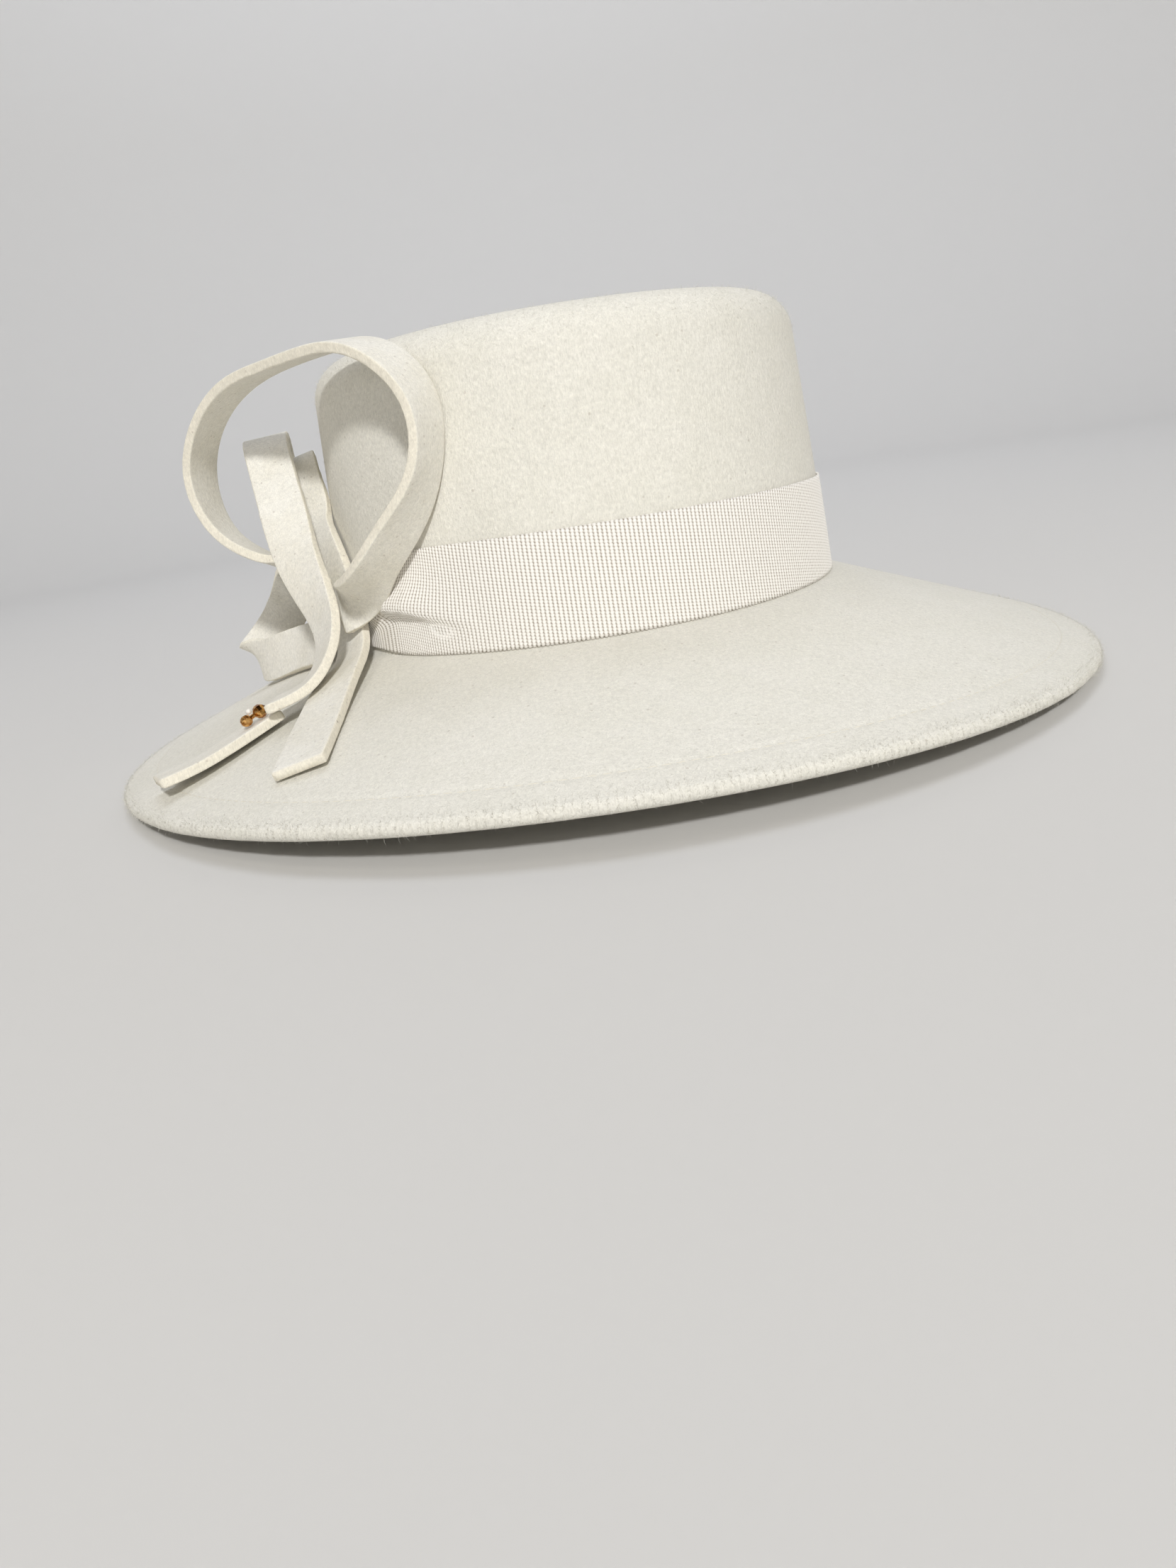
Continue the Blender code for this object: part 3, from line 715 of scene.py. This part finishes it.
def felt_strip(name, node, route, start_slant=0.0, end_slant=0.0, slant_over=15.0):
    """Points are middle + across * a + out * b, with the cut edges roughened by small random
    shifts and both ends rounded in. A slant carries one corner of an end on and the other back."""
    at, middle, along, across, out = strip_frame(route, STRIP_STEP)
    outline = strip_outline()
    side, through, cut = outline.T
    total = at[-1]
    count = len(at)
    ends = np.zeros(count)
    ends[[0, -1]] = 1.0
    rough = chance.normal(0, 1, (count, len(side)))
    rough = (rough + np.roll(rough, 1, 0) + np.roll(rough, 1, 1)) / 3
    swell = 1 + 0.006 * np.sin(at / 9.0)[:, None] + 0.010 * cut * rough
    a = side * swell * (1 - ends[:, None] * CORNER * 0.6 / (STRIP_WIDTH / 2))
    b = through * (1 + 0.012 * rough * cut) * (1 - ends[:, None] * CORNER * 0.6
                                               / (STRIP_THICKNESS / 2))
    slant = (start_slant * np.clip(1 - at / slant_over, 0, 1)
             + end_slant * np.clip(1 - (total - at) / slant_over, 0, 1))[:, None]
    points = (middle[:, None] + across[:, None] * a[..., None] + out[:, None] * b[..., None]
              + along[:, None] * (slant * side / (STRIP_WIDTH / 2))[..., None])
    corners = grid_corners(count, len(side), wrap_columns=True)
    faces = grid_faces(count, len(side), corners)
    last = (count - 1) * len(side) + np.arange(len(side))
    piece = mesh_piece(name, points.reshape(-1, 3),
                       [*faces, np.arange(len(side)), last[::-1]], strip_felt)
    mark(piece, "cut", np.maximum(np.tile(cut, (count, 1)), ends[:, None]).ravel())
    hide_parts(node)
    print(name, round(total), "mm long,", len(faces), "faces")
    return piece, total


strips = [
    felt_strip("ring_loop_strip", "bow_ring_loop", RING_LOOP),
    felt_strip("upright_loop_strip", "bow_upright_loop", UPRIGHT_LOOP,
               start_slant=1.5),
    felt_strip("long_tail_strip", "bow_long_tail", LONG_TAIL, end_slant=1.5),
    felt_strip("rear_loop_strip", "bow_rear_loop", REAR_LOOP),
]

# %% [markdown]
# ## The pin
# Two small faceted beads of polished gold sit on the long tail with a short bar between them and
# a white bead behind. A faceted bead is a ball with few, flat faces: flat shading keeps each
# facet a small mirror. The gold's colour is its own tone with painted reflections laid on it, in
# dark and pale patches. The pin's place is measured along the long tail's route and across it.


# %% Pin
def bead_points(radius, around, up_steps, spin):
    """A ball: rings of latitude from pole to pole, turned by spin."""
    tilt = np.linspace(0.12, 0.88, up_steps)[:, None] * np.pi
    turn = np.arange(around) * 2 * np.pi / around + spin
    shape = np.stack(np.broadcast_arrays(np.sin(tilt) * np.cos(turn), np.sin(tilt) * np.sin(turn),
                                         np.cos(tilt) + 0 * turn), axis=-1)
    return radius * shape


def bead(name, middle, radius, around, up_steps, material, smooth, axis, spin=0.0):
    """Rings of a ball about an axis, with a flat facet closing each pole."""
    rings = bead_points(radius, around, up_steps, spin)
    to_axis = np.array(Vector((0, 0, 1)).rotation_difference(Vector(axis)).to_matrix())
    rings = rings @ to_axis.T + middle
    corners = grid_corners(up_steps, around, wrap_columns=True)
    faces = grid_faces(up_steps, around, corners)
    last = (up_steps - 1) * around + np.arange(around)
    return mesh_piece(name, rings.reshape(-1, 3), [*faces, np.arange(around)[::-1], last],
                      material, smooth)


gold, gold_tree, gold_shader = new_finish("polished gold brass", roughness=0.16, metallic=1.0)
gold_place = add(gold_tree, "ShaderNodeTexCoord", out="Object")
reflection_noise = add(gold_tree, "ShaderNodeTexNoise", {"Vector": gold_place, "Scale": 750.0})
painted_reflection_share = add(gold_tree, "ShaderNodeMapRange", {
    "Value": reflection_noise, "From Min": 0.4, "From Max": 0.6})
# Painted reflections: the gold is patched between a dark and a pale gold, standing in for dark and
# bright surroundings mirrored in the facets.
gold_tree.links.new(blend(gold_tree, painted_reflection_share, tone(150, 94, 40), tone(242, 192, 122)),
                    gold_shader.inputs["Base Color"])
pearl, pearl_tree, pearl_shader = new_finish("white bead", roughness=0.2)
pearl_place = add(pearl_tree, "ShaderNodeTexCoord", out="Object")
pearl_noise = add(pearl_tree, "ShaderNodeTexNoise", {"Vector": pearl_place, "Scale": 700.0})
pearl_tree.links.new(blend(pearl_tree, pearl_noise, tone(238, 232, 222), tone(250, 248, 243)),
                     pearl_shader.inputs["Base Color"])
PIN_ALONG, PIN_ASIDE, PIN_SPACING = 6.8, -3.0, 5.0
PIN_BEAD_RADIUS, PIN_BAR_RADIUS, PIN_WHITE_RADIUS = (2.2, 1.9), 0.9, 0.85
at, middle, along, across, out = strip_frame(LONG_TAIL, 0.5)
i = int(np.argmin(abs(at - PIN_ALONG)))
up = out[i] if out[i][2] > 0 else -out[i]
seat = middle[i] + across[i] * PIN_ASIDE + up * (STRIP_THICKNESS / 2 + CLEARANCE)
inner_radius, outer_radius = PIN_BEAD_RADIUS
inner_bead = seat - along[i] * PIN_SPACING / 2 + up * inner_radius
outer_bead = seat + along[i] * PIN_SPACING / 2 + up * outer_radius
gold_beads = [bead("gold_bead_inner", inner_bead, inner_radius, 8, 6, gold, False, along[i], 0.2),
              bead("gold_bead_outer", outer_bead, outer_radius, 8, 6, gold, False, along[i], 0.5)]
BAR_SIDES = 16
bar_turn = np.arange(BAR_SIDES) * 2 * np.pi / BAR_SIDES
bar_along = np.array([0.0, 0.28, 0.5, 0.72, 1.0])
bar_size = np.array([1.0, 0.82, 0.72, 0.82, 1.0]) * PIN_BAR_RADIUS
bar = (inner_bead + (outer_bead - inner_bead) * bar_along[:, None, None]
       + (across[i] * np.cos(bar_turn)[:, None] + up * np.sin(bar_turn)[:, None])
       * bar_size[:, None, None])
bar_rings = len(bar_along)
bar_faces = grid_faces(bar_rings, BAR_SIDES, grid_corners(bar_rings, BAR_SIDES, wrap_columns=True))
bar_end = np.arange(BAR_SIDES)
pin_bar = mesh_piece("gold_pin_bar", bar.reshape(-1, 3),
                     [*bar_faces, bar_end[::-1], (bar_rings - 1) * BAR_SIDES + bar_end], gold)
for piece in (*gold_beads, pin_bar):
    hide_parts("tail_pin")
WHITE_UP, WHITE_ASIDE, WHITE_ALONG = 0.45, 0.4, 0.3
rest = (seat + up * (PIN_BAR_RADIUS + inner_radius + CLEARANCE + WHITE_UP)
        + across[i] * WHITE_ASIDE + along[i] * WHITE_ALONG)
white_bead = bead("white_bead", rest, PIN_WHITE_RADIUS, 20, 12, pearl, True, up)
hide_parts("tail_pin_bead")
print("pin at", np.round(seat, 1))

# %% [markdown]
# ## Loose hairs
# A felt hat has a halo of fine hairs, thickest on the rolled edge. Each is a three-sided spike
# with one bend, closed at the root and at the tip, and thousands of them are placed at once:
# random faces of the finished pieces give the roots and the directions.


# %% Loose hairs
BODY_HAIRS, BODY_HAIR_LENGTH, BODY_HAIR_RADIUS = 14000, 0.9, 0.020
EDGE_HAIRS, EDGE_HAIR_LENGTH, EDGE_HAIR_RADIUS = 18000, 1.25, 0.024
STRIP_HAIRS_PER_MM, STRIP_HAIR_LENGTH, STRIP_HAIR_RADIUS = 8, 0.55, 0.018
FLOOR_GAP = 0.02              # no hair reaches lower than this
HAIR_POINTS = 7               # three at the root, three at the bend, one at the tip


def hair_roots(piece, count, weight):
    """Random points on a piece's faces with their normals, chosen by area times weight."""
    mesh = piece.data
    faces = len(mesh.polygons)
    centre, normal, area = np.empty(faces * 3), np.empty(faces * 3), np.empty(faces)
    mesh.polygons.foreach_get("center", centre)
    mesh.polygons.foreach_get("normal", normal)
    mesh.polygons.foreach_get("area", area)
    centre, normal = centre.reshape(-1, 3) / MM, normal.reshape(-1, 3)
    share = area * weight(centre, normal)
    picked = chance.choice(faces, count, p=share / share.sum())
    spread = np.sqrt(area[picked] / MM ** 2)[:, None]
    jitter = chance.uniform(-0.4, 0.4, (count, 3)) * spread
    jitter -= (jitter * normal[picked]).sum(axis=1, keepdims=True) * normal[picked]
    return centre[picked] + jitter, normal[picked]


def hairs(name, roots, normals, length, radius, material):
    """Spikes: a triangle at the root, a smaller one at the bend and one point at the tip. The tip
    lies along normal * cos(lean) + tangent * sin(lean)."""
    count = len(roots)
    loose = chance.normal(size=(count, 3))
    loose -= (loose * normals).sum(axis=1, keepdims=True) * normals
    loose /= np.linalg.norm(loose, axis=1, keepdims=True)
    lean = np.radians(chance.uniform(25, 88, (count, 1)))
    size = length * np.minimum(chance.lognormal(0, 0.35, (count, 1)), 2.2)
    first = normals * np.cos(lean * 0.6) + loose * np.sin(lean * 0.6)
    second = normals * np.cos(lean) + loose * np.sin(lean)
    bend = roots + first * size * 0.5
    tip = bend + second * size * 0.5
    side = np.cross(first, loose + 0.3 * normals)
    side /= np.linalg.norm(side, axis=1, keepdims=True)
    other = np.cross(first, side)
    turns = np.radians([0, 120, 240])
    ring = side[:, None] * np.cos(turns)[:, None] + other[:, None] * np.sin(turns)[:, None]
    root_ring = roots[:, None] - normals[:, None] * 0.05 + ring * radius
    bend_ring = bend[:, None] + ring * radius * 0.8
    points = np.concatenate([root_ring, bend_ring, tip[:, None]], axis=1)
    points[..., 2] = np.maximum(points[..., 2], FLOOR_GAP)
    base = (np.arange(count) * HAIR_POINTS)[:, None]
    quads = [base + np.array([a, b, b + 3, a + 3]) for a, b in ((0, 1), (1, 2), (2, 0))]
    tips = [base + np.array([a, b, 6]) for a, b in ((3, 4), (4, 5), (5, 3))]
    roots_face = base + np.array([2, 1, 0])
    return mesh_piece(name, points.reshape(-1, 3),
                      [*np.concatenate(quads), *np.concatenate([*tips, roots_face])], material)


def reach_out(centre):
    """How far out a place lies on the brim's oval: 0 in the middle, 1 at the edge."""
    return np.hypot(centre[:, 0] / BRIM_HALF_WIDTH, centre[:, 1] / BRIM_HALF_LENGTH)


def edge_share(centre):
    """How much a place belongs to the rolled edge (first) and to the rounding of the tip."""
    return (np.exp(-((reach_out(centre) - 0.995) / 0.014) ** 2),
            np.exp(-((centre[:, 2] - FOOT_HEIGHT - 86) / 6) ** 2))


def on_body(centre, normal):
    """Thin all over the outside, none inside the crown or under the ribbon."""
    outside = (normal[:, 2] > -0.2) & (centre[:, 2] > 1.0)
    under_ribbon = (np.abs(centre[:, 2] - FOOT_HEIGHT - 16) < 17) & (reach_out(centre) < 0.6)
    return 1.0 * outside * ~under_ribbon


def on_edges(centre, normal):
    """Thick on the rolled edge, thinner where the crown rounds over."""
    rolled, tip = edge_share(centre)
    return (5.0 * rolled + tip) * (normal[:, 2] > -0.6) * (centre[:, 2] > 0.5)


def anywhere(centre, normal):
    """The same all over."""
    return np.ones(len(centre))


body_hairs = hairs("wool_fuzz", *hair_roots(body_piece, BODY_HAIRS, on_body),
                   BODY_HAIR_LENGTH, BODY_HAIR_RADIUS, wool_felt)
edge_hairs = hairs("edge_fuzz", *hair_roots(body_piece, EDGE_HAIRS, on_edges),
                   EDGE_HAIR_LENGTH, EDGE_HAIR_RADIUS, wool_felt)
all_roots = [hair_roots(piece, int(STRIP_HAIRS_PER_MM * length), anywhere)
             for piece, length in strips]
strip_hairs = hairs("strip_fuzz", np.concatenate([root for root, _ in all_roots]),
                    np.concatenate([normal for _, normal in all_roots]),
                    STRIP_HAIR_LENGTH, STRIP_HAIR_RADIUS, wool_felt)
print("hairs:", [len(piece.data.vertices) // HAIR_POINTS
                 for piece in (body_hairs, edge_hairs, strip_hairs)])

# %% [markdown]
# ## The studio
# The hat lies on a pale round floor that curves up into a wall on every side, so that no sharp
# horizon cuts behind it. The cove is one profile turned about the upright axis: a flat run, a
# quarter circle and a wall.

# %% Floor and backdrop
COVE_FLAT, COVE_RADIUS, COVE_TOP, COVE_ROUND = 1600.0, 900.0, 2600.0, 128
bend_turn = np.linspace(0, np.pi / 2, 25)
reach = np.concatenate([[1.0, 600.0], COVE_FLAT + COVE_RADIUS * np.sin(bend_turn),
                        [COVE_FLAT + COVE_RADIUS]])
climb = np.concatenate([[0.0, 0.0], COVE_RADIUS * (1 - np.cos(bend_turn)), [COVE_TOP]])
turn = (np.arange(COVE_ROUND) * 2 * np.pi / COVE_ROUND)[:, None]
cove = np.stack(np.broadcast_arrays(reach * np.cos(turn), reach * np.sin(turn), climb), axis=-1)
paper, _, paper_shader = new_finish("pale paper", roughness=0.9)
paper_shader.inputs["Base Color"].default_value = tone(214, 212, 208)
cove_mesh = bpy.data.meshes.new("studio_cove")
cove_corners = grid_corners(COVE_ROUND, len(reach), wrap_rows=True)
cove_faces = grid_faces(COVE_ROUND, len(reach), cove_corners)
middle_face = np.arange(COVE_ROUND) * len(reach)
cove_mesh.from_pydata((cove.reshape(-1, 3) * MM).tolist(), [],
                      [*cove_faces.tolist(), middle_face.tolist()])
cove_mesh.polygons.foreach_set("use_smooth", np.ones(len(cove_mesh.polygons), bool))
cove_mesh.materials.append(paper)
studio_cove = bpy.data.objects.new("studio_cove", cove_mesh)
bpy.context.scene.collection.objects.link(studio_cove)
print("cove of", len(cove_mesh.polygons), "faces")

# %% [markdown]
# ## Light
# The key lamp stands high in front, a little to the right, and is small enough to throw the
# bow's shadow on the crown. A wide warm lamp above fills in, a third one lights the backdrop, and
# a faint warm sky keeps the shadows from going black.


# %% Lamps and sky
def soft_lamp(name, place, aim, size, power, colour=(1.0, 1.0, 1.0)):
    """A square lamp that faces its aim; places are in metres."""
    lamp = bpy.data.lights.new(name, "AREA")
    lamp.shape = "SQUARE"
    lamp.size = size
    lamp.energy = power
    lamp.color = colour
    holder = bpy.data.objects.new(name, lamp)
    direction = Vector(aim) - Vector(place)
    holder.matrix_world = (Matrix.Translation(place)
                           @ direction.to_track_quat("-Z", "Y").to_matrix().to_4x4())
    bpy.context.scene.collection.objects.link(holder)


soft_lamp("key_lamp", (0.4, -2.2, 1.63), (0.0, 0.0, 0.06), 0.26, 47.3, (1.0, 1.0, 1.0))
soft_lamp("top_lamp", (-0.75, -0.35, 1.6), (0.0, 0.0, 0.05), 0.6, 2.4, (1.0, 0.95, 0.88))
soft_lamp("backdrop_lamp", (0.0, 0.9, 2.4), (0.0, 2.0, 0.6), 1.6, 31.0, (0.84, 0.89, 1.0))
sky = bpy.data.worlds.new("pale sky")
sky.use_nodes = True
sky.node_tree.nodes["Background"].inputs["Color"].default_value = (1.0, 0.82, 0.66, 1.0)
sky.node_tree.nodes["Background"].inputs["Strength"].default_value = 0.035
bpy.context.scene.world = sky
bpy.context.scene.view_settings.view_transform = "Standard"
print("lamps:", len(bpy.data.lights))

# %% [markdown]
# ## Camera
# The camera stands close in front of the brim, higher than it but lower than the crown's tip. It
# is tipped down and rolled, which makes the hat lean as if it were worn at a tilt. Its turn is
# built from three plain angles: heading, pitch and roll.

# %% Camera
CAMERA_PLACE = (17.0, -400.0, 86.3)
FOCAL_LENGTH, SENSOR_WIDTH = 24.09, 36.0
HEADING, PITCH, ROLL = np.radians([4.065, -17.35, -9.165])
lens = bpy.data.cameras.new("view")
lens.lens = FOCAL_LENGTH
lens.sensor_width = SENSOR_WIDTH
lens.clip_start = 0.01
camera = bpy.data.objects.new("view", lens)
turned = (Matrix.Rotation(HEADING, 4, "Z") @ Matrix.Rotation(np.pi / 2 + PITCH, 4, "X")
          @ Matrix.Rotation(ROLL, 4, "Z"))
camera.matrix_world = Matrix.Translation(Vector(CAMERA_PLACE) * MM) @ turned
bpy.context.scene.collection.objects.link(camera)
bpy.context.scene.camera = camera
print("camera looks along", [round(v, 3) for v in -camera.matrix_world.col[2].xyz])
